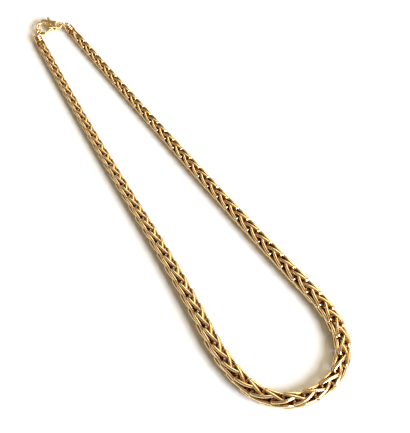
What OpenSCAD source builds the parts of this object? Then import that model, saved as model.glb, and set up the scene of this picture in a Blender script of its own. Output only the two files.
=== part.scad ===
// Graduated wheat chain necklace closed by a lobster clasp, lying in a long U.
// Lengths in millimetres. The chain rests on z = 0 and its left end comes first.

/* [Chain] */
// width across the chain at both thin ends, corner to corner
chain_width_end = 3.9; // [3:0.1:6]
// width across the chain at the middle of the front
chain_width_front = 6.6; // [4:0.1:10]
// number of link steps that would fill the whole length
link_steps = 140; // [60:1:240]
// links that are made
link_count = 137; // [40:1:236]
// step at which the first link stands
first_step = 0.6; // [0:0.1:4]
// wire thickness as a share of the chain's width
wire_share = 0.136; // [0.11:0.002:0.15]

/* [Link shape, in wire thicknesses] */
// reach of a link's shoulder from the middle of the chain
shoulder_reach = 3.75; // [3:0.05:5]
// how far an end loop leans in towards its tip
tip_lean = 1.45; // [1:0.05:2]
// half the spread of the two wires that cross the chain
cross_half = 0.64; // [0.6:0.01:0.9]
// radius of an end loop's round tip
tip_radius = 1.95; // [1.7:0.05:2.4]
// radius of the bend at a shoulder
shoulder_bend = 0.8; // [0.6:0.05:1.2]
// where along a leg it is bent once more round the front
leg_joint = 0.59; // [0.3:0.01:0.8]

/* [Lay] */
// left end of the chain on the table, across and away from the viewer
lay_start = [-63.85, 80.67];
// heading of the chain at its left end
lay_heading = -63.6; // [-90:0.1:0]
// first and last distance between which the chain turns sharply
turn_from = 158; // [100:1:200]
turn_to = 270; // [220:1:320]
// sections of the lay, columns: length, turn in degrees (left is positive)
lay_sections = [
    [108.1, 2.9],
    [55.8, -4.1],
    [23.3, 17.5],
    [60.5, 157.3],
    [16.3, 19.6],
    [76.9, -2.1],
    [94.0, -0.6],
];

/* [End caps and rings] */
// radius of a cap over its ribs
cap_radius = 1.9; // [1.5:0.05:2.5]
// length of a cap's barrel
cap_length = 3.2; // [2:0.1:6]
// ribs round a cap
cap_ribs = 3; // [1:1:5]
// wire of the eyes and of both rings
ring_wire = 0.6; // [0.4:0.05:0.8]
// middle radius of a cap's eye
eye_radius = 0.95; // [0.8:0.05:1.4]
// length of the neck between a cap's barrel and its eye
neck_length = 0.4; // [0.2:0.05:1]
// wire of the staple and the bar that hold the chain's end links
staple_wire = 0.5; // [0.3:0.05:0.7]
// middle radius of the ring that the clasp's hook catches
catch_ring_radius = 1.6; // [1.4:0.05:2.4]
// middle radius of the ring at the clasp's tail
tail_ring_radius = 1.45; // [1.3:0.05:2]

/* [Clasp] */
// direction from the left cap's eye to the middle of the hook
hook_way = 55; // [30:1:100]
// middle radius of the hook
hook_radius = 3.15; // [2.5:0.05:4]
// thickness of the hook
hook_wire = 1.4; // [1:0.05:2]
// direction in which the hook's tip ends, from the hook's middle
hook_end = 275; // [240:1:300]
// outer radius of the tail
tail_radius = 1.3; // [1:0.05:2]
// radius of the tail's hole
tail_hole = 0.7; // [0.5:0.05:1]
// thickness of the tail round its hole
tail_thick = 1.3; // [0.8:0.05:2]
// thickness of the body at its thickest
body_thick = 2.8; // [2:0.1:4]
// radius of the domes that round the body's faces
body_dome = 18; // [10:1:40]
// how far the body reaches beside the clasp's axis, on the gate's side
body_low = 1.35; // [1:0.05:2]
// pivot of the lever, in the clasp's own directions
pivot_spot = [3.7, 0.1];
// radius of the pivot pin
pin_radius = 0.4; // [0.3:0.05:0.6]
// thickness of the lever
lever_thick = 1.0; // [0.6:0.05:1.4]
// far end of the lever's gate, in the clasp's own directions
gate_spot = [1.25, -2.25];
// far end of the lever's thumb tab, in the clasp's own directions
tab_spot = [2.5, 5.1];
// gap kept between pieces that move
play = 0.1; // [0.05:0.01:0.2]

/* [Hidden] */
$fn = 24;
lay_length = sum_first(lay_sections, len(lay_sections));
grow = chain_width_front - chain_width_end;
step_skew = sqrt(chain_width_end / chain_width_front);
// a bend's tube is a hair thicker than the legs that run a little way into it
bend_swell = 1.05;
lap = 0.08;
left_count = floor(link_count / 2);
// lifts the lowest link onto z = 0
rest_lift = 0.028;
mid_height = chain_width_end / 2 + rest_lift;
gold = [0.85, 0.65, 0.25];

// Sums and places along the lay
function sum_first(rows, n, i = 0) = i >= n ? 0 : rows[i][0] + sum_first(rows, n, i + 1);
function unit(v) = v / norm(v);
function turn_about(a) = [cos(a), sin(a)];

// end of an arc of given length and turn that starts at [x, y, heading]
function arc_end(p, len, turn) =
    abs(turn) < 0.001
        ? [p[0] + len * cos(p[2]), p[1] + len * sin(p[2]), p[2]]
        : let (r = len / turn * 180 / PI, h = p[2] + turn)
          [p[0] + r * (sin(h) - sin(p[2])), p[1] - r * (cos(h) - cos(p[2])), h];

// where each section starts, as [x, y, heading]
section_starts = [
    for (i = 0, p = [lay_start[0], lay_start[1], lay_heading];
         i <= len(lay_sections);
         p = i < len(lay_sections) ? arc_end(p, lay_sections[i][0], lay_sections[i][1]) : p, i = i + 1) p
];

function section_of(s, i = 0) =
    i >= len(lay_sections) - 1 || s < sum_first(lay_sections, i + 1) ? i : section_of(s, i + 1);

// place on the lay at distance s, as [x, y, heading]
function lay(s) =
    let (i = section_of(s),
         row = lay_sections[i],
         rest = s - sum_first(lay_sections, i))
    arc_end(section_starts[i], rest, row[1] * rest / row[0]);

// width of the chain at distance s
function width_at(s) = chain_width_end + grow * pow(sin(180 * max(0, min(1, s / lay_length))), 2);

// distance at which link step k stands, where the steps grow with the width
function step_place(k) =
    let (phase = 180 * (k + first_step) / link_steps)
    lay_length / 180 * (atan(step_skew * tan(phase)) + (phase > 90 ? 180 : 0));

// the chain's directions at distance s for link k: middle, forward, outward and sideways
function chain_frame(s, k) =
    let (p = lay(s),
         forward = [cos(p[2]), sin(p[2]), 0],
         left = [-sin(p[2]), cos(p[2]), 0],
         up = [0, 0, 1],
         outward = (left + (k % 2 == 0 ? 1 : -1) * up) / sqrt(2))
    [[p[0], p[1], width_at(s) / 2 + rest_lift], forward, outward, cross(forward, outward)];

// Wire pieces
module frame_at(x, y, z, at) {
    multmatrix([
        [x[0], y[0], z[0], at[0]],
        [x[1], y[1], z[1], at[1]],
        [x[2], y[2], z[2], at[2]],
        [0, 0, 0, 1],
    ]) children();
}

module rod(a, b, thick) {
    way = b - a;
    long = norm(way);
    translate(a)
        rotate([0, acos(way[2] / long), atan2(way[1], way[0])])
            cylinder(h = long, d = thick);
}

// arc of tube that starts at x from its middle and turns towards y
module tube_arc(x, y, at, radius, angle, thick) {
    frame_at(x, y, cross(x, y), at)
        rotate_extrude(angle = angle)
            translate([radius, 0])
                circle(d = thick);
}

// round joint between rods that run in direction e and direction f
module knee(at, e, f, thick) {
    z = unit(cross(e, f));
    y = unit(e + f);
    frame_at(cross(y, z), y, z, at)
        sphere(d = thick);
}

// bend at corner p from direction e to direction f
module shoulder(p, e, f, radius, thick) {
    angle = acos(e * f);
    middle = p + unit(f - e) * (radius / cos(angle / 2));
    x = unit(p - e * (radius * tan(angle / 2)) - middle);
    tube_arc(x, cross(unit(cross(e, f)), x), middle, radius, angle, thick);
}

// Links
// one folded side of a link, as [tip middle, tip sideways, tip forward, foot below the tip, half width
// at the foot, root, root sideways, half width at the root, [across, forward] of the arc's start,
// angle of the arc's start, tip radius]; a jointed link's foot is its joint
function loop_side(k, s, thick, reach, side, jointed) =
    let (near = chain_frame(s, k),
         far = chain_frame(s + reach, k),
         joint_frame = chain_frame(s + reach * leg_joint, k),
         root = near[0] + side * thick * shoulder_reach * near[2],
         tip = far[0] + side * thick * (shoulder_reach - tip_lean) * far[2],
         joint = joint_frame[0]
             + side * thick * (shoulder_reach - tip_lean * leg_joint) * joint_frame[2],
         from = jointed ? joint : root,
         across = far[3],
         raw = tip - from,
         along = unit(raw - across * (raw * across)),
         run = (tip - from) * along,
         base = tip - along * run,
         root_half = thick * cross_half,
         tip_half = thick * tip_radius,
         half = jointed ? root_half + (tip_half - root_half) * leg_joint : root_half,
         far_off = norm([half, run]),
         slope = atan2(run, -half) - asin(tip_half / far_off),
         leg = sqrt(far_off * far_off - tip_half * tip_half),
         touch = [half + leg * cos(slope), leg * sin(slope)],
         start = atan2(touch[1] - run, touch[0]))
    [tip, across, along, base, half, root, near[3], root_half, touch, start, tip_half];

// round tip of a side
module tip_arc(loop, thick) {
    across = loop[1];
    along = loop[2];
    start = loop[9];
    x = across * cos(start) + along * sin(start);
    y = along * cos(start) - across * sin(start);
    tube_arc(x, y, loop[0], loop[10], 180 - 2 * start, thick);
}

// corner where a leg leaves the crossing wire, on the given sideways sign
function corner_of(loop, sign, jointed) =
    jointed ? loop[5] + loop[6] * (sign * loop[7]) : loop[3] + loop[1] * (sign * loop[7]);

// next point up the leg from that corner
function above_corner(loop, sign, jointed) =
    jointed ? loop[3] + loop[1] * (sign * loop[4]) : touch_of(loop, sign);

function touch_of(loop, sign) =
    loop[3] + loop[1] * (sign * loop[8][0]) + loop[2] * loop[8][1];

module link(k) {
    s = step_place(k);
    thick = width_at(s) * wire_share;
    reach = step_place(k + 2) - s;
    jointed = s > turn_from && s < turn_to;
    radius = thick * shoulder_bend;
    loops = [for (side = [1, -1]) loop_side(k, s, thick, reach, side, jointed)];
    for (l = loops)
        tip_arc(l, thick * bend_swell);
    for (sign = [-1, 1]) {
        corners = [for (l = loops) corner_of(l, sign, jointed)];
        nexts = [for (l = loops) above_corner(l, sign, jointed)];
        cross_way = unit(corners[1] - corners[0]);
        outs = [-cross_way, cross_way];
        ups = [for (i = [0, 1]) unit(nexts[i] - corners[i])];
        trims = [for (i = [0, 1]) radius * tan(acos(ups[i] * outs[i]) / 2) - lap * thick];
        rod(corners[0] + cross_way * trims[0], corners[1] - cross_way * trims[1], thick);
        for (i = [0, 1]) {
            up = ups[i];
            out = outs[i];
            shoulder(corners[i], out, up, radius, thick * bend_swell);
            tip_start = touch_of(loops[i], sign);
            last_way = unit(tip_start - (jointed ? nexts[i] : corners[i]));
            if (jointed) {
                knee(nexts[i], up, last_way, thick * bend_swell);
                rod(corners[i] + up * trims[i], nexts[i], thick);
                rod(nexts[i], tip_start + last_way * (lap * thick), thick);
            } else
                rod(corners[i] + up * trims[i], tip_start + last_way * (lap * thick), thick);
        }
    }
}

// Ends of the chain
first_thick = width_at(step_place(0)) * wire_share;
last_reach = step_place(link_count + 1) - step_place(link_count - 1);
last_eye = step_place(link_count - 1) + last_reach;
left_face = step_place(0) - first_thick / 2 - 1.5 * play;
right_face = last_eye + first_thick * (tip_radius + 0.5) + 1.5 * play;

// directions of a cap: where its face is, outward, sideways and the end link's sideways
function cap_frame(s, sign, k) =
    let (f = chain_frame(s, k),
         out = sign * f[1])
    [[f[0][0], f[0][1], mid_height], out, cross([0, 0, 1], out), f[3], f[2]];

left_frame = cap_frame(left_face, -1, 0);
right_frame = cap_frame(right_face, 1, link_count - 1);
eye_reach = cap_length + neck_length + eye_radius;
left_eye = left_frame[0] + left_frame[1] * eye_reach;
right_eye = right_frame[0] + right_frame[1] * eye_reach;

// ribbed barrel with a neck and an eye, along x from its face
module cap_barrel() {
    rib = cap_length / cap_ribs;
    rotate([0, 90, 0]) {
        cylinder(h = cap_length, r = cap_radius - 0.35);
        for (i = [0:cap_ribs - 1])
            translate([0, 0, rib * (i + 0.5)])
                rotate_extrude()
                    translate([cap_radius - rib * 0.4, 0])
                        circle(r = rib * 0.4);
        translate([0, 0, cap_length - 0.2])
            cylinder(h = neck_length + 0.2, r = ring_wire * 0.65);
    }
    translate([eye_reach, 0, 0])
        rotate_extrude()
            translate([eye_radius, 0])
                circle(d = ring_wire);
}

module left_cap() {
    f = left_frame;
    // the staple's inside clears both crossing wires of the first link
    half = first_thick * (cross_half + 0.5) + play + staple_wire / 2;
    far = step_place(0) - left_face + 0.4;
    color(gold) {
        frame_at(f[1], f[2], [0, 0, 1], f[0])
            cap_barrel();
        frame_at(-f[1], f[3], cross(-f[1], f[3]), f[0]) {
            for (side = [-1, 1])
                translate([-0.3, side * half, 0])
                    rotate([0, 90, 0])
                        cylinder(h = far + 0.3 + lap, d = staple_wire);
            translate([far, 0, 0])
                rotate([0, 0, -90])
                    rotate_extrude(angle = 180)
                        translate([half, 0])
                            circle(d = staple_wire * bend_swell);
        }
    }
}

module right_cap() {
    f = right_frame;
    back = right_face - last_eye;
    half = first_thick * (shoulder_reach - tip_lean + 0.5) + 2 * play;
    color(gold) {
        frame_at(f[1], f[2], [0, 0, 1], f[0])
            cap_barrel();
        // the post ends in a bar that lies in both eyes of the last link
        frame_at(-f[1], f[4], cross(-f[1], f[4]), f[0]) {
            translate([-0.3, 0, 0])
                rotate([0, 90, 0])
                    cylinder(h = back + 0.3, r = staple_wire * 0.7);
            translate([back, 0, 0])
                rotate([90, 0, 0])
                    cylinder(h = 2 * half, d = staple_wire, center = true);
        }
    }
}

// Clasp
hook_spot = left_eye + (2 * catch_ring_radius - ring_wire / 2 - play - hook_wire / 2 + hook_radius)
    * [cos(hook_way), sin(hook_way), 0];
tail_line = right_eye - hook_spot;
clasp_angle = atan2(tail_line[1], tail_line[0]);
tail_reach = norm(tail_line) - 2 * tail_ring_radius;
slot = [hook_wire * 0.65, 5.2];

// upright ring in the vertical plane of the given direction
module upright_ring(at, way, radius) {
    translate(at)
        rotate([90, 0, way])
            rotate_extrude()
                translate([radius, 0])
                    circle(d = ring_wire);
}

module catch_ring() {
    color(gold)
        upright_ring(left_eye + catch_ring_radius * [cos(hook_way), sin(hook_way), 0],
            hook_way, catch_ring_radius);
}

module tail_ring() {
    color(gold)
        upright_ring(right_eye - tail_ring_radius * unit(tail_line), clasp_angle, tail_ring_radius);
}

module in_clasp() {
    translate(hook_spot)
        rotate([0, 0, clasp_angle])
            children();
}

// bar of tapering width between two round ends, set in a little so that no side is tangent
module tapered_bar(a, b, ra, rb, thick) {
    way = b - a;
    long = norm(way);
    turn = acos((ra - rb) / long);
    angle = atan2(way[1], way[0]);
    inset = 0.98;
    translate([0, 0, -thick / 2]) {
        translate(a)
            cylinder(h = thick, r = ra);
        translate(b)
            cylinder(h = thick, r = rb);
        linear_extrude(thick)
            polygon([
                a + inset * ra * turn_about(angle - turn),
                b + inset * rb * turn_about(angle - turn),
                b + inset * rb * turn_about(angle + turn),
                a + inset * ra * turn_about(angle + turn),
            ]);
    }
}

module body_blank() {
    // a little inside the hook's round, so that the two aren't tangent
    outer = hook_radius + hook_wire / 2 - 0.08;
    intersection() {
        tapered_bar([0, 0], [tail_reach, 0], outer, tail_radius, body_thick);
        translate([-0.6, -body_low, -body_thick])
            cube([tail_reach + 4, outer + body_low + 1, 2 * body_thick]);
        for (side = [-1, 1])
            translate([3, 0, side * (body_dome - body_thick / 2)])
                sphere(r = body_dome);
    }
}

module clasp_body() {
    color(gold)
        in_clasp() {
            difference() {
                body_blank();
                translate([0, 0, -body_thick])
                    cylinder(h = 2 * body_thick, r = hook_radius - hook_wire / 2 + 0.05);
                translate([slot[0], -6, -lever_thick / 2 - play])
                    cube([slot[1] - slot[0], 12, lever_thick + 2 * play]);
                translate([tail_reach, 0, -body_thick])
                    cylinder(h = 2 * body_thick, r = tail_hole);
                for (side = [-1, 1])
                    translate([tail_reach, 0, side * (tail_thick + body_thick) / 2])
                        cylinder(h = body_thick, r = tail_radius + 0.5, center = true);
                translate([pivot_spot[0], pivot_spot[1], -body_thick])
                    cylinder(h = 2 * body_thick, r = pin_radius + play / 2);
            }
            rotate([0, 0, 95])
                rotate_extrude(angle = hook_end - 95)
                    translate([hook_radius, 0])
                        circle(d = hook_wire);
            rotate([0, 0, hook_end])
                translate([hook_radius, 0, 0])
                    sphere(d = hook_wire * bend_swell);
        }
}

module clasp_lever() {
    color(gold)
        in_clasp()
            difference() {
                union() {
                    tapered_bar(pivot_spot, gate_spot, 1, 0.42, lever_thick);
                    tapered_bar(pivot_spot, tab_spot, 0.95, 0.45, lever_thick * 0.98);
                }
                translate([pivot_spot[0], pivot_spot[1], -lever_thick])
                    cylinder(h = 2 * lever_thick, r = pin_radius + 0.8 * play);
            }
}

module clasp_pin() {
    color(gold)
        in_clasp()
            translate([pivot_spot[0], pivot_spot[1], -body_thick / 2 + 0.05])
                cylinder(h = body_thick - 0.1, r = pin_radius);
}

module chain_left() {
    color(gold)
        for (k = [0:left_count - 1])
            link(k);
}

module chain_right() {
    color(gold)
        for (k = [left_count:link_count - 1])
            link(k);
}

chain_left();
chain_right();
left_cap();
right_cap();
catch_ring();
tail_ring();
clasp_body();
clasp_lever();
clasp_pin();
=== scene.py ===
import math

import bmesh
import bpy
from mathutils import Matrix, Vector


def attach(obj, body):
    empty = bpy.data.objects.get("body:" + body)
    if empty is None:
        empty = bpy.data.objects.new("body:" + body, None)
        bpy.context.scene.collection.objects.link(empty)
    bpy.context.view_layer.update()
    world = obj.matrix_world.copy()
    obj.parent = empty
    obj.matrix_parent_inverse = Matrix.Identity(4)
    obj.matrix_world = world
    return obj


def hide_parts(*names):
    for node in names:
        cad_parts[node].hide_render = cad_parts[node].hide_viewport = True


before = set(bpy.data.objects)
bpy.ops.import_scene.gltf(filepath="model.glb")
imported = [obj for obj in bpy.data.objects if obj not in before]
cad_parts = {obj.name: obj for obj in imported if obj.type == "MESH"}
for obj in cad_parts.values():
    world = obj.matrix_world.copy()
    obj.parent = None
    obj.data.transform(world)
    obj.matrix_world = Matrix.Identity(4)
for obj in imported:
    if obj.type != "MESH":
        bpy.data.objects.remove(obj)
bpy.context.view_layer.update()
scene = bpy.context.scene
mm = 0.001
print("frame loaded:", ", ".join(sorted(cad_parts)))


def newObject(name, data):
    made = bpy.data.objects.new(name, data)
    scene.collection.objects.link(made)
    return made


# camera at the photo's angle above the table
camera = {
    "aim": (10.1, -8.63, 0.0),
    "elevation": 60.0,
    "distance": 520.0,
    "focalPixels": 1260.27,
    "imageWidth": 410,  # pixels too
    "sensorWidth": 36.0,
    "nearest": 10.0,  # nothing closer than this is drawn
}


def makeCamera(values):
    data = bpy.data.cameras.new("tableCamera")
    data.sensor_fit = "HORIZONTAL"
    data.sensor_width = values["sensorWidth"]
    data.lens = values["focalPixels"] * values["sensorWidth"] / values["imageWidth"]
    data.clip_start = values["nearest"] * mm
    made = newObject("tableCamera", data)
    aim = Vector(values["aim"]) * mm
    up = math.radians(values["elevation"])
    made.location = aim + Vector((0, -math.cos(up), math.sin(up))) * values["distance"] * mm
    made.rotation_euler = (aim - made.location).to_track_quat("-Z", "Y").to_euler()
    scene.camera = made


makeCamera(camera)
print("camera placed")


# short ways to add and join nodes
class Wiring:
    def __init__(self, tree):
        self.tree = tree

    def put(self, value, socket):
        if isinstance(value, bpy.types.NodeSocket):
            self.tree.links.new(value, socket)
        else:
            socket.default_value = value

    # settings come first, because they decide which inputs the node has
    def add(self, kind, values=None, **settings):
        node = self.tree.nodes.new(kind)
        for key, value in settings.items():
            setattr(node, key, value)
        for key, value in (values or {}).items():
            self.put(value, node.inputs[key])
        return node

    def math(self, operation, *values):
        return self.add("ShaderNodeMath", dict(enumerate(values)), operation=operation).outputs[0]

    def vector(self, operation, *values):
        node = self.add("ShaderNodeVectorMath", operation=operation)
        for i, value in enumerate(values):
            self.put(value, node.inputs["Scale" if operation == "SCALE" and i == 1 else i])
        return node.outputs["Value" if operation in ("LENGTH", "DOT_PRODUCT") else "Vector"]

    def split(self, vector):
        return self.add("ShaderNodeSeparateXYZ", {0: vector}).outputs

    def join(self, x, y, z):
        return self.add("ShaderNodeCombineXYZ", {0: x, 1: y, 2: z}).outputs[0]

    def mixColours(self, share, first, second):
        return self.add("ShaderNodeMix", {0: share, 6: first, 7: second}, data_type="RGBA").outputs[2]

    def store(self, geometry, name, value, kind="FLOAT"):
        node = self.add("GeometryNodeStoreNamedAttribute", {"Geometry": geometry, "Name": name},
                        data_type=kind, domain="POINT")
        self.put(value, node.inputs["Value"])
        return node.outputs[0]


# a node group, with its wiring, its inputs and its outputs
def newGroup(name, kind, inputs, outputs):
    tree = bpy.data.node_groups.new(name, kind)
    for socketName, socketKind in inputs:
        tree.interface.new_socket(socketName, in_out="INPUT", socket_type="NodeSocket" + socketKind)
    for socketName, socketKind in outputs:
        tree.interface.new_socket(socketName, in_out="OUTPUT", socket_type="NodeSocket" + socketKind)
    wires = Wiring(tree)
    return tree, wires, tree.nodes.new("NodeGroupInput").outputs, tree.nodes.new("NodeGroupOutput").inputs


# gold, the same for every piece
gold = {
    "warm": (0.92, 0.66, 0.35, 1),
    "pale": (0.96, 0.80, 0.54, 1),
    "seamShade": (0.24, 0.085, 0.006, 1),  # painted shade in the seams
    "innerShade": (0.56, 0.23, 0.015, 1),  # painted shade deep inside the braid, saturated like gold mirrored in gold
    "edge": (0.90, 0.62, 0.30, 1),  # of what is mirrored at a low angle
    # how fully the painted seam shade covers the gold
    "seamShadeShare": 1.0,
    # how fully the painted inner shade covers the gold
    "innerShadeShare": 0.9,
    "innerRoughness": 0.3,
    "patchSize": 2.2,
    "patchFade": (0.3, 0.8),  # levels of the noise at which the gold is all warm and all pale
    "grooveSize": 0.8,  # of the uneven stretches of the painted seam shade
    "grooveUnevenness": 0.3,
    "grooveFade": (0.15, 0.85),
}
# its scratches, rubbed patches and dents: how fine each is against the scratch size
wear = {
    "scratchSize": 0.16,
    "rubFineness": 0.12,
    "streakFineness": 0.35,
    "dentFineness": 0.3,
    "streakTurn": (0.4, 0.9, 0.5),  # radians
    "streakStretch": (1, 9, 1),
    "streakShare": 0.5,  # the rest of the roughness comes from the rubbed patches
    "streakHeight": 0.25,  # against a dent's
    "fade": (0.35, 0.65),
}
# roughness where it is smoothest and roughest, depth of the marks, and how far the gold turns pale
polishes = {
    "chainGold": {"smoothest": 0.14, "roughest": 0.28, "depth": 0.010, "paleness": 0.0},
    "capGold": {"smoothest": 0.12, "roughest": 0.28, "depth": 0.012, "paleness": 0.0},
    "claspGold": {"smoothest": 0.08, "roughest": 0.20, "depth": 0.008, "paleness": 0.08},
    "ringGold": {"smoothest": 0.08, "roughest": 0.22, "depth": 0.008, "paleness": 0.0},
}


# place on the piece, and how often a pattern of a size repeats in a metre
def patternSpace(w, size):
    spot = w.add("ShaderNodeTexCoord").outputs["Object"]
    return spot, w.math("DIVIDE", 1.0, w.math("MULTIPLY", size, mm))


# pale and warm patches of colour
def makeGoldTone():
    tree, w, given, result = newGroup(
        "goldTone", "ShaderNodeTree",
        [("Patch Size", "Float"), ("Warm", "Color"), ("Pale", "Color"), ("Shift", "Float")],
        [("Colour", "Color")])
    spot, scale = patternSpace(w, given["Patch Size"])
    noise = w.add("ShaderNodeTexNoise", {"Vector": spot, "Scale": scale, "Detail": 3.0, "Roughness": 0.55})
    low, high = gold["patchFade"]
    level = w.add("ShaderNodeMapRange", {
        "Value": w.math("ADD", noise.outputs["Fac"], given["Shift"]), "From Min": low, "From Max": high})
    w.put(w.mixColours(level.outputs[0], given["Warm"], given["Pale"]), result["Colour"])
    return tree


# fine scratches and rubbed patches in a polish
def makePolishMarks(values):
    tree, w, given, result = newGroup(
        "polishMarks", "ShaderNodeTree",
        [("Scratch Size", "Float"), ("Smoothest", "Float"), ("Roughest", "Float"), ("Depth", "Float")],
        [("Roughness", "Float"), ("Normal", "Vector")])
    spot, scale = patternSpace(w, given["Scratch Size"])
    streaked = w.add("ShaderNodeMapping", {
        "Vector": spot, "Rotation": values["streakTurn"], "Scale": values["streakStretch"]}).outputs[0]

    def noiseOf(where, fineness, detail):
        return w.add("ShaderNodeTexNoise", {
            "Vector": where, "Scale": w.math("MULTIPLY", scale, fineness), "Detail": detail}).outputs["Fac"]

    rub = noiseOf(spot, values["rubFineness"], detail=2.0)
    streak = noiseOf(streaked, values["streakFineness"], detail=4.0)
    dent = noiseOf(spot, values["dentFineness"], detail=3.0)
    rubbed = w.math("MULTIPLY", rub, 1 - values["streakShare"])
    blend = w.math("MULTIPLY_ADD", streak, values["streakShare"], rubbed)
    low, high = values["fade"]
    rough = w.add("ShaderNodeMapRange", {
        "Value": blend, "From Min": low, "From Max": high,
        "To Min": given["Smoothest"], "To Max": given["Roughest"]})
    height = w.math("MULTIPLY_ADD", streak, values["streakHeight"], dent)
    deep = w.math("MULTIPLY", given["Depth"], mm)
    bump = w.add("ShaderNodeBump", {"Height": height, "Strength": 1.0, "Distance": deep})
    w.put(rough.outputs[0], result["Roughness"])
    w.put(bump.outputs[0], result["Normal"])
    return tree


# masks for painted shade in the seams where wires or ribs touch, and for painted shade with duller metal deep
# inside, both uneven
def makeGrooveShade():
    tree, w, given, result = newGroup(
        "grooveShade", "ShaderNodeTree",
        [("Patch Size", "Float"), ("Unevenness", "Float")], [("Seam", "Float"), ("Depth", "Float")])
    spot, scale = patternSpace(w, given["Patch Size"])
    noise = w.add("ShaderNodeTexNoise", {"Vector": spot, "Scale": scale, "Detail": 3.0})
    wander = w.math("MULTIPLY", w.math("SUBTRACT", noise.outputs["Fac"], 0.5), given["Unevenness"])
    low, high = gold["grooveFade"]
    for name in ("Seam", "Depth"):
        stored = w.add("ShaderNodeAttribute", attribute_name=name.lower()).outputs["Fac"]
        soft = w.add("ShaderNodeMapRange", interpolation_type="SMOOTHSTEP", values={
            "Value": w.math("ADD", stored, wander), "From Min": low, "From Max": high})
        w.put(soft.outputs[0], result[name])
    return tree


goldTone = makeGoldTone()
polishMarks = makePolishMarks(wear)
grooveShade = makeGrooveShade()


# gold with painted shade: warmer and darker deep inside the braid, dark in the seams
def goldFinish(name, values):
    made = bpy.data.materials.new(name)
    made.use_nodes = True
    made.node_tree.nodes.clear()
    w = Wiring(made.node_tree)
    tone = w.add("ShaderNodeGroup", node_tree=goldTone, values={
        "Patch Size": gold["patchSize"], "Warm": gold["warm"], "Pale": gold["pale"],
        "Shift": values["paleness"]})
    marks = w.add("ShaderNodeGroup", node_tree=polishMarks, values={
        "Scratch Size": wear["scratchSize"], "Smoothest": values["smoothest"],
        "Roughest": values["roughest"], "Depth": values["depth"]})
    groove = w.add("ShaderNodeGroup", node_tree=grooveShade, values={
        "Patch Size": gold["grooveSize"], "Unevenness": gold["grooveUnevenness"]})
    colour = tone.outputs["Colour"]
    # painted shade: the inner shade, then the seam shade, laid over the gold tone by the masks
    for mask, share, dark in (("Depth", gold["innerShadeShare"], gold["innerShade"]),
                              ("Seam", gold["seamShadeShare"], gold["seamShade"])):
        colour = w.mixColours(w.math("MULTIPLY", groove.outputs[mask], share), colour, dark)
    rough = w.math("MULTIPLY_ADD", groove.outputs["Depth"], gold["innerRoughness"],
                   marks.outputs["Roughness"])
    surface = w.add("ShaderNodeBsdfPrincipled", {
        "Base Color": colour, "Roughness": rough, "Normal": marks.outputs["Normal"],
        "Metallic": 1.0, "Specular Tint": gold["edge"]})
    w.add("ShaderNodeOutputMaterial", {"Surface": surface.outputs[0]})
    return made


finishes = {name: goldFinish(name, values) for name, values in polishes.items()}
print("finishes made")

# the chain: where it lies, how wide it is and how its wires are drawn
lay = {
    "start": (-63.85, 80.67),
    "heading": -63.6,
    # length of each section and how far it turns to the left
    "sections": [(108.1, 2.9), (55.8, -4.1), (23.3, 17.5), (60.5, 157.3),
                 (16.3, 19.6), (76.9, -2.1), (94.0, -0.6)],
    "guideStep": 0.5,
}
chain = {
    "endWidth": 3.9,
    "frontWidth": 6.6,
    "links": 137,
    "linkSteps": 140.0,  # as many as would fill the whole length
    "firstStep": 0.6,  # at which the first link stands
    "wireShare": 0.136,  # of the width, what the link's own measures count in
    "roundShare": 0.215,  # of the width, as thick as the wire is drawn
    "wireSides": 14,
    "crossScale": 0.92,  # keeps the links inside the width
    "restLift": 0.055,  # of the middle line, above half the width
    "strandLean": -20.0,  # how far the groove is turned from the top, less than 0 to the inner side
    "frontLean": 12.0,
    "frontShare": 0.05,  # the front ends at this share of the length from the middle
    "strandShare": 0.14,  # and the strands begin here
    "unevenRoll": 0.8,  # how far a link is turned by chance
    "seed": 7,
    "seamShadeFade": (0.80, 0.1),  # how squarely the wire looks outward where the painted seam shade starts and is darkest
    "depthFade": (0.85, 0.35),  # shares of the half width where the painted inner shade starts and is darkest
}
# one link, in wire thicknesses
link = {
    "reach": 8.94,
    "stepsAhead": 2.0,  # steps of the chain that the reach stands for
    "shoulderReach": 3.3,  # from the middle line outward
    "tipLean": 1.7,  # how much nearer to it the tip is
    "crossHalf": 0.74,  # from one crossing wire to halfway between both
    "crossEnd": 1.2,  # up to here from the middle line a crossing wire is straight
    "tipRadius": 2.0,
    "shoulderBend": 0.8,
    "legBow": -0.20,  # how far the middle of a leg bends aside
    "legRise": 0.45,  # and outward
    "swing": 26.0,  # degrees that a half turns towards the groove from its shoulder to its tip
    "swingStart": -0.5,  # share of them at the shoulder
    "bendParts": 5,
    "legParts": 6,
    "tipParts": 14,
}


# points along the middle line of the chain
def layPoints(values):
    x, y = values["start"]
    heading = math.radians(values["heading"])
    points = [(x, y)]
    for length, turn in values["sections"]:
        count = max(2, round(length / values["guideStep"]))
        step, bend = length / count, math.radians(turn) / count
        for _ in range(count):
            x += step * math.cos(heading + bend / 2)
            y += step * math.sin(heading + bend / 2)
            heading += bend
            points.append((x, y))
    return [Vector((px, py, 0)) * mm for px, py in points]


# points of a rounded corner between two directions
def roundCorner(corner, before, after, radius, steps):
    turn = before.angle(after)
    middle = corner + (after - before).normalized() * (radius / math.cos(turn / 2))
    first = (corner - before * radius * math.tan(turn / 2) - middle).normalized()
    across = before.cross(after).normalized().cross(first)
    return [middle + (first * math.cos(a) + across * math.sin(a)) * radius
            for a in (turn * i / steps for i in range(steps + 1))]


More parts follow.
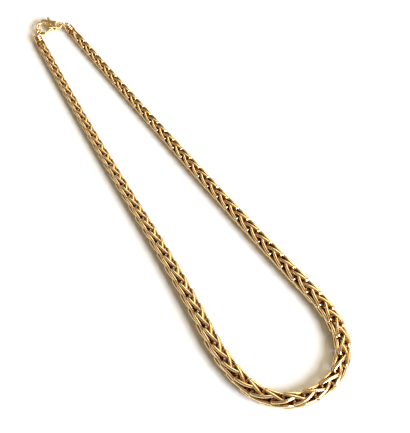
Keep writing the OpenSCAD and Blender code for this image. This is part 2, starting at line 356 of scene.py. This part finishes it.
# half a link: out of the crossing wire over the shoulder, along a leg, round the tip and back
def halfLink(side, values):
    root = Vector((0, side * values["shoulderReach"], 0))
    tip = Vector((values["reach"], side * (values["shoulderReach"] - values["tipLean"]), 0))
    along = (tip - root).normalized()
    across = Vector((0, 0, side))
    outward = Vector((0, side, 0))
    run = (tip - root).length
    half, radius = values["crossHalf"], values["tipRadius"]
    # the leg is a tangent from the crossing wire to the round tip
    offset = math.hypot(half, run)
    slope = math.atan2(run, -half) - math.asin(radius / offset)
    reach = math.sqrt(offset**2 - radius**2)
    touch = (half + reach * math.cos(slope), reach * math.sin(slope))
    start = math.atan2(touch[1] - run, touch[0])
    legWay = (along * touch[1] + across * (touch[0] - half)).normalized()
    foot = root + across * touch[0] + along * touch[1]
    leg = roundCorner(root + across * half, outward, legWay, values["shoulderBend"], values["bendParts"])
    shoulder = leg[-1]
    bow = across * values["legBow"] + outward * values["legRise"]
    for i in range(1, values["legParts"]):
        share = i / values["legParts"]
        leg.append(shoulder.lerp(foot, share) + bow * math.sin(math.pi * share))
    arc = [start + (math.pi - 2 * start) * i / values["tipParts"] for i in range(values["tipParts"] + 1)]
    return (leg + [tip + (across * math.cos(a) + along * math.sin(a)) * radius for a in arc]
            + [Vector((p.x, p.y, -p.z)) for p in reversed(leg)]
            + [Vector((0, y * side, -half * side)) for y in (values["crossEnd"], -values["crossEnd"])])


# one link as a closed line: x along the chain, y outward, z sideways
def linkPoints(values):
    points = halfLink(1, values) + halfLink(-1, values)
    for p in points:
        turn = math.radians(values["swing"]) * (p.x / values["reach"] + values["swingStart"])
        p.yz = (p.y * math.cos(turn) - p.z * math.sin(turn), p.y * math.sin(turn) + p.z * math.cos(turn))
    return points


# a line for a tree to read
def lineObject(name, points, closed):
    data = bpy.data.curves.new(name, "CURVE")
    data.dimensions = "3D"
    spline = data.splines.new("POLY")
    spline.points.add(len(points) - 1)
    for slot, point in zip(spline.points, points):
        slot.co = (*point, 1)
    spline.use_cyclic_u = closed
    return newObject(name, data)


# distance along the chain at which a link step stands
def makeLinkPlace():
    tree, w, given, result = newGroup(
        "linkPlace", "GeometryNodeTree",
        [("Step", "Float"), ("First Step", "Float"), ("Link Steps", "Float"), ("Length", "Float"),
         ("Skew", "Float")],
        [("Distance", "Float")])
    counted = w.math("MULTIPLY", w.math("ADD", given["Step"], given["First Step"]), math.pi)
    phase = w.math("DIVIDE", counted, given["Link Steps"])
    bent = w.math("ARCTANGENT", w.math("MULTIPLY", given["Skew"], w.math("TANGENT", phase)))
    bent = w.math("MULTIPLY_ADD", w.math("GREATER_THAN", phase, math.pi / 2), math.pi, bent)
    w.put(w.math("DIVIDE", w.math("MULTIPLY", bent, given["Length"]), math.pi), result["Distance"])
    return tree


# width of the chain at a distance
def makeChainWidth():
    tree, w, given, result = newGroup(
        "chainWidth", "GeometryNodeTree",
        [("Distance", "Float"), ("Length", "Float"), ("End Width", "Float"), ("Front Width", "Float")],
        [("Width", "Float")])
    wave = w.math("SINE", w.math("DIVIDE", w.math("MULTIPLY", given["Distance"], math.pi), given["Length"]))
    grow = w.math("SUBTRACT", given["Front Width"], given["End Width"])
    w.put(w.math("MULTIPLY_ADD", grow, w.math("MULTIPLY", wave, wave), given["End Width"]), result["Width"])
    return tree


# the groove lies more to the inner side along the strands and more to the outer side at the front
def grooveLean(w, given, here):
    fromFront = w.math("ABSOLUTE", w.math("SUBTRACT", w.math("DIVIDE", here, given["Length"]), 0.5))
    lean = w.add("ShaderNodeMapRange", interpolation_type="SMOOTHSTEP", values={
        "Value": fromFront, "From Min": given["Front Share"], "From Max": given["Strand Share"],
        "To Min": given["Front Lean"], "To Max": given["Strand Lean"]})
    return lean.outputs[0]


# the links in a straight row along x, as lines
def linkRow(w, given, placeOf, widthOf):
    step = w.math("ADD", w.add("GeometryNodeInputIndex").outputs[0], given["First Link"])
    here = placeOf(step)
    # a link reaches some steps ahead, at the end of the chain only to its last eye
    ahead = w.math("MINIMUM", w.math("ADD", step, given["Steps Ahead"]), given["Last Step"])
    reach = w.math("SUBTRACT", placeOf(ahead), here)
    row = w.add("GeometryNodePoints", {"Count": given["Link Count"], "Position": w.join(here, 0.0, 0.0)})
    # every other link is turned by a quarter and mirrored, so that the chain has grooves on four sides
    odd = w.math("MODULO", step, 2.0)
    chance = w.add("FunctionNodeRandomValue", {"Min": -1.0, "Max": 1.0, "ID": step, "Seed": given["Seed"]},
                   data_type="FLOAT").outputs[1]
    lean = w.math("ADD", grooveLean(w, given, here), math.pi / 4)
    roll = w.math("MULTIPLY_ADD", chance, given["Roll"], w.math("MULTIPLY_ADD", odd, -math.pi / 2, lean))
    thick = w.math("MULTIPLY", widthOf(here), given["Wire Share"])
    across = w.math("MULTIPLY", thick, given["Cross Scale"])
    mirrored = w.math("MULTIPLY", across, w.math("MULTIPLY_ADD", odd, -2.0, 1.0))
    stretch = w.math("DIVIDE", reach, given["Link Reach"])
    shape = w.add("GeometryNodeObjectInfo", {"Object": given["Link"]}, transform_space="ORIGINAL")
    placed = w.add("GeometryNodeInstanceOnPoints", {
        "Points": row.outputs[0], "Instance": shape.outputs["Geometry"],
        "Rotation": w.join(roll, 0.0, 0.0), "Scale": w.join(stretch, across, mirrored)})
    return w.add("GeometryNodeRealizeInstances", {"Geometry": placed.outputs[0]}).outputs[0]


# the straight row laid along the guide; the lines keep the middle of the chain and half its width
def layRow(w, given, row, widthOf):
    x, y, z = w.split(w.add("GeometryNodeInputPosition").outputs[0])
    guide = w.add("GeometryNodeObjectInfo", {"Object": given["Guide"]}, transform_space="ORIGINAL")
    sampled = w.add("GeometryNodeSampleCurve", {"Curves": guide.outputs["Geometry"], "Length": x},
                    mode="LENGTH", use_all_curves=True)
    left = w.vector("NORMALIZE", w.vector("CROSS_PRODUCT", (0, 0, 1), sampled.outputs["Tangent"]))
    wide = widthOf(x)
    lift = w.math("MULTIPLY_ADD", wide, 0.5, given["Rest Lift"])
    spine = w.vector("ADD", sampled.outputs["Position"], w.join(0.0, 0.0, lift))
    laid = w.vector("ADD", w.vector("ADD", spine, w.vector("SCALE", left, y)), w.join(0.0, 0.0, z))
    kept = w.store(row, "spine", spine, "FLOAT_VECTOR")
    kept = w.store(kept, "halfWidth", w.math("MULTIPLY", wide, 0.5))
    return w.add("GeometryNodeSetPosition", {"Geometry": kept, "Position": laid}).outputs[0]


# the lines as round wire, with the painted shade of its seams and of its depth in the braid marked
def roundWire(w, given, lines):
    spine = w.add("GeometryNodeInputNamedAttribute", {"Name": "spine"}, data_type="FLOAT_VECTOR").outputs[0]
    halfWidth = w.add("GeometryNodeInputNamedAttribute", {"Name": "halfWidth"}).outputs[0]
    ring = w.add("GeometryNodeCurvePrimitiveCircle", {"Resolution": given["Wire Sides"], "Radius": 1.0})
    wire = w.add("GeometryNodeCurveToMesh", {
        "Curve": lines, "Profile Curve": ring.outputs[0],
        "Scale": w.math("MULTIPLY", halfWidth, given["Round Share"])}).outputs[0]
    # painted seam shade goes where the wire looks sideways or inward, depth counts from the outside in
    outward = w.vector("SUBTRACT", w.add("GeometryNodeInputPosition").outputs[0], spine)
    normal = w.add("GeometryNodeInputNormal").outputs[0]
    facing = w.vector("DOT_PRODUCT", w.vector("NORMALIZE", outward), normal)
    fromSpine = w.math("DIVIDE", w.vector("LENGTH", outward), halfWidth)
    for name, value in (("Seam", facing), ("Depth", fromSpine)):
        share = w.add("ShaderNodeMapRange", {
            "Value": value, "From Min": given[name + " Start"], "From Max": given[name + " End"]})
        wire = w.store(wire, name.lower(), share.outputs[0])
    return wire


def makeWheatChain():
    tree, w, given, result = newGroup(
        "wheatChain", "GeometryNodeTree",
        [("Guide", "Object"), ("Link", "Object"), ("Finish", "Material"), ("First Link", "Int"),
         ("Link Count", "Int"), ("Link Steps", "Float"), ("First Step", "Float"), ("Last Step", "Float"),
         ("Steps Ahead", "Float"), ("Link Reach", "Float"), ("Length", "Float"), ("End Width", "Float"),
         ("Front Width", "Float"), ("Wire Share", "Float"), ("Round Share", "Float"), ("Wire Sides", "Int"),
         ("Cross Scale", "Float"), ("Rest Lift", "Float"), ("Front Lean", "Float"), ("Strand Lean", "Float"),
         ("Front Share", "Float"), ("Strand Share", "Float"), ("Roll", "Float"), ("Seed", "Int"),
         ("Seam Start", "Float"), ("Seam End", "Float"), ("Depth Start", "Float"), ("Depth End", "Float")],
        [("Geometry", "Geometry")])
    place, width = makeLinkPlace(), makeChainWidth()
    skew = w.math("SQRT", w.math("DIVIDE", given["End Width"], given["Front Width"]))

    def placeOf(step):
        return w.add("GeometryNodeGroup", node_tree=place, values={
            "Step": step, "First Step": given["First Step"], "Link Steps": given["Link Steps"],
            "Length": given["Length"], "Skew": skew}).outputs[0]

    def widthOf(distance):
        return w.add("GeometryNodeGroup", node_tree=width, values={
            "Distance": distance, "Length": given["Length"],
            "End Width": given["End Width"], "Front Width": given["Front Width"]}).outputs[0]

    lines = layRow(w, given, linkRow(w, given, placeOf, widthOf), widthOf)
    smooth = w.add("GeometryNodeSetShadeSmooth", {"Geometry": roundWire(w, given, lines)})
    whole = w.add("GeometryNodeRealizeInstances", {"Geometry": smooth.outputs[0]})
    finished = w.add("GeometryNodeSetMaterial", {"Geometry": whole.outputs[0], "Material": given["Finish"]})
    w.put(finished.outputs[0], result["Geometry"])
    return tree


# what a tree makes of these values, as a plain mesh
def runTree(name, tree, values):
    holder = newObject(name + "Maker", bpy.data.meshes.new(name + "Maker"))
    modifier = holder.modifiers.new("maker", "NODES")
    modifier.node_group = tree
    sockets = {item.name: item.identifier for item in tree.interface.items_tree if item.in_out == "INPUT"}
    for key, value in values.items():
        modifier[sockets[key]] = value
    bpy.context.view_layer.update()
    made = bpy.data.meshes.new_from_object(holder.evaluated_get(bpy.context.evaluated_depsgraph_get()))
    bpy.data.objects.remove(holder)
    made.name = name
    return newObject(name, made)


wheatChain = makeWheatChain()
guide = layPoints(lay)
layGuide = lineObject("layGuide", guide, False)
linkLine = lineObject("linkLine", linkPoints(link), True)
layLength = sum(length for length, turn in lay["sections"])
leftCount = chain["links"] // 2
for pieceName, node, first, count in (("chainLeft", "chain_left", 0, leftCount),
                                      ("chainRight", "chain_right", leftCount, chain["links"] - leftCount)):
    made = runTree(pieceName, wheatChain, {
        "Guide": layGuide, "Link": linkLine, "Finish": finishes["chainGold"],
        "First Link": first, "Link Count": count, "Link Steps": chain["linkSteps"],
        "First Step": chain["firstStep"], "Last Step": chain["links"] + 1.0,
        "Steps Ahead": link["stepsAhead"], "Link Reach": link["reach"], "Length": layLength * mm,
        "End Width": chain["endWidth"] * mm, "Front Width": chain["frontWidth"] * mm,
        "Wire Share": chain["wireShare"], "Round Share": chain["roundShare"],
        "Wire Sides": chain["wireSides"], "Cross Scale": chain["crossScale"],
        "Rest Lift": chain["restLift"] * mm,
        "Front Lean": math.radians(chain["frontLean"]), "Strand Lean": math.radians(chain["strandLean"]),
        "Front Share": chain["frontShare"], "Strand Share": chain["strandShare"],
        "Roll": math.radians(chain["unevenRoll"]), "Seed": chain["seed"],
        "Seam Start": chain["seamShadeFade"][0], "Seam End": chain["seamShadeFade"][1],
        "Depth Start": chain["depthFade"][0], "Depth End": chain["depthFade"][1]})
    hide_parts(node)
    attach(made, "necklace")
    print(pieceName, len(made.data.polygons), "faces")
for helper in (layGuide, linkLine):
    bpy.data.objects.remove(helper)

# caps, rings and clasp: the solids of the frame, shaded smooth and worn
caps = {
    "height": 1.978,
    "length": 3.2,
    "ribRadius": 1.86,
    "grooveRadius": 1.62,
    "endMargin": 0.1,  # past both ends, for points that lie on them
    "leftFace": 1.02,  # from the start of the lay
    "rightFace": 1.9,  # back from its end
}
casting = {
    "grid": 0.07,
    "rounds": 14,
    "pull": 0.5,  # share of the way to its neighbours' middle that a point moves in a round
}
shading = {
    "mergeWithin": 0.001,
    "sharpFrom": 32.0,  # an edge that turns by more stays sharp
}
fittings = [
    {"name": "leftCap", "node": "left_cap", "body": "necklace",
     "finish": "capGold", "slot": "cap_gold", "cast": False},
    {"name": "rightCap", "node": "right_cap", "body": "necklace",
     "finish": "capGold", "slot": "cap_gold", "cast": False},
    {"name": "catchRing", "node": "catch_ring", "body": "necklace",
     "finish": "ringGold", "slot": "ring_gold", "cast": False},
    {"name": "tailRing", "node": "tail_ring", "body": "necklace",
     "finish": "ringGold", "slot": "ring_gold", "cast": False},
    {"name": "claspBody", "node": "clasp_body", "body": "necklace",
     "finish": "claspGold", "slot": "clasp_gold", "cast": True},
    {"name": "claspPin", "node": "clasp_pin", "body": "necklace",
     "finish": "claspGold", "slot": "clasp_gold", "cast": False},
    {"name": "claspLever", "node": "clasp_lever", "body": "lever",
     "finish": "claspGold", "slot": "lever_gold", "cast": True},
]


# a cast piece has no sharp edges: it is laid over a fine grid and worn smooth
def roundEdges(data, values):
    holder = newObject("castingMaker", data)
    grid = holder.modifiers.new("grid", "REMESH")
    grid.mode = "VOXEL"
    grid.voxel_size = values["grid"] * mm
    worn = holder.modifiers.new("worn", "SMOOTH")
    worn.factor = values["pull"]
    worn.iterations = values["rounds"]
    bpy.context.view_layer.update()
    made = bpy.data.meshes.new_from_object(holder.evaluated_get(bpy.context.evaluated_depsgraph_get()))
    bpy.data.objects.remove(holder)
    form = bmesh.new()
    form.from_mesh(made)
    form.to_mesh(data)
    form.free()
    bpy.data.meshes.remove(made)


# a solid of the frame, merged and shaded smooth
def smoothCopy(values):
    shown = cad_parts[values["node"]]
    data = shown.data.copy()
    data.name = values["name"]
    data.transform(shown.matrix_world)
    form = bmesh.new()
    form.from_mesh(data)
    bmesh.ops.remove_doubles(form, verts=form.verts, dist=shading["mergeWithin"] * mm)
    bmesh.ops.recalc_face_normals(form, faces=form.faces)
    form.to_mesh(data)
    form.free()
    if values["cast"]:
        roundEdges(data, casting)
    data.shade_smooth()
    data.set_sharp_from_angle(angle=math.radians(shading["sharpFrom"]))
    data.materials.clear()
    data.materials.append(finishes[values["finish"]])
    return newObject(values["name"], data)


# painted shade in the grooves between the ribs of a cap
def markRibs(made, face, outward, values):
    ribShade = []
    for vertex in made.data.vertices:
        offset = vertex.co - face
        along = offset.dot(outward) / mm
        radius = (offset - outward * offset.dot(outward)).length / mm
        share = (values["ribRadius"] - radius) / (values["ribRadius"] - values["grooveRadius"])
        ribbed = -values["endMargin"] < along < values["length"] + values["endMargin"]
        ribShade.append(min(1, max(0, share)) if ribbed else 0.0)
    made.data.attributes.new("seam", "FLOAT", "POINT").data.foreach_set("value", ribShade)


lifted = Vector((0, 0, caps["height"])) * mm
startWay = (guide[1] - guide[0]).normalized()
endWay = (guide[-1] - guide[-2]).normalized()
capFaces = {
    "leftCap": (guide[0] + startWay * caps["leftFace"] * mm + lifted, -startWay),
    "rightCap": (guide[-1] - endWay * caps["rightFace"] * mm + lifted, endWay),
}
for piece in fittings:
    made = smoothCopy(piece)
    if piece["name"] in capFaces:
        markRibs(made, *capFaces[piece["name"]], caps)
    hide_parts(piece["node"])
    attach(made, piece["body"])
print("caps, rings and clasp finished")

# floor and light
studio = {
    "floorSize": 8000.0,
    "floorColour": (0.96, 0.955, 0.945, 1),
    "floorRoughness": 0.8,
    "grainScale": 40.0,  # of the floor's noise, in a metre
    "grainGain": 1.02,  # how much paler its pale grains are
    "fill": (1.0, 0.82, 0.52, 1),
    "fillStrength": 0.27,
    "keyWay": (1.0, -0.66, 0.72),  # from the necklace towards the light
    "keyDistance": 2000.0,
    "keySize": 1250.0,
    "keyPower": 86.0,  # watts
    "keyColour": (0.84, 0.90, 1.0),
    "backWay": (0.3, 0.55, 0.75),
    "backDistance": 2200.0,
    "backSize": 1500.0,
    "backPower": 19.0,
    "backColour": (1.0, 0.84, 0.58),
}


def makeLight(name, values):
    data = bpy.data.lights.new(name + "Light", "AREA")
    data.shape = "DISK"
    data.size = values[name + "Size"] * mm
    data.energy = values[name + "Power"]
    data.color = values[name + "Colour"]
    made = newObject(name + "Light", data)
    made.location = Vector(values[name + "Way"]).normalized() * values[name + "Distance"] * mm
    made.rotation_euler = (-made.location).to_track_quat("-Z", "Y").to_euler()


def floorFinish(values):
    made = bpy.data.materials.new("paleFloor")
    made.use_nodes = True
    made.node_tree.nodes.clear()
    w = Wiring(made.node_tree)
    spot = w.add("ShaderNodeTexCoord").outputs["Object"]
    noise = w.add("ShaderNodeTexNoise", {"Vector": spot, "Scale": values["grainScale"], "Detail": 4.0})
    pale = [min(1, part * values["grainGain"]) for part in values["floorColour"][:3]]
    colour = w.mixColours(noise.outputs["Fac"], values["floorColour"], (*pale, 1))
    surface = w.add("ShaderNodeBsdfPrincipled", {"Base Color": colour, "Roughness": values["floorRoughness"]})
    w.add("ShaderNodeOutputMaterial", {"Surface": surface.outputs[0]})
    return made


def makeFloor(values):
    half = values["floorSize"] * mm / 2
    data = bpy.data.meshes.new("floor")
    corners = [(-half, -half, 0), (half, -half, 0), (half, half, 0), (-half, half, 0)]
    data.from_pydata(corners, [], [(0, 1, 2, 3)])
    data.materials.append(floorFinish(values))
    floor = newObject("floor", data)


def makeRoom(values):
    world = bpy.data.worlds.new("paleRoom")
    scene.world = world
    world.use_nodes = True
    world.node_tree.nodes.clear()
    w = Wiring(world.node_tree)
    fill = w.add("ShaderNodeBackground", {"Color": values["fill"], "Strength": values["fillStrength"]})
    w.add("ShaderNodeOutputWorld", {"Surface": fill.outputs[0]})
    scene.view_settings.view_transform = "Standard"
    scene.view_settings.look = "None"


makeFloor(studio)
makeRoom(studio)
makeLight("key", studio)
makeLight("back", studio)
print("studio made")
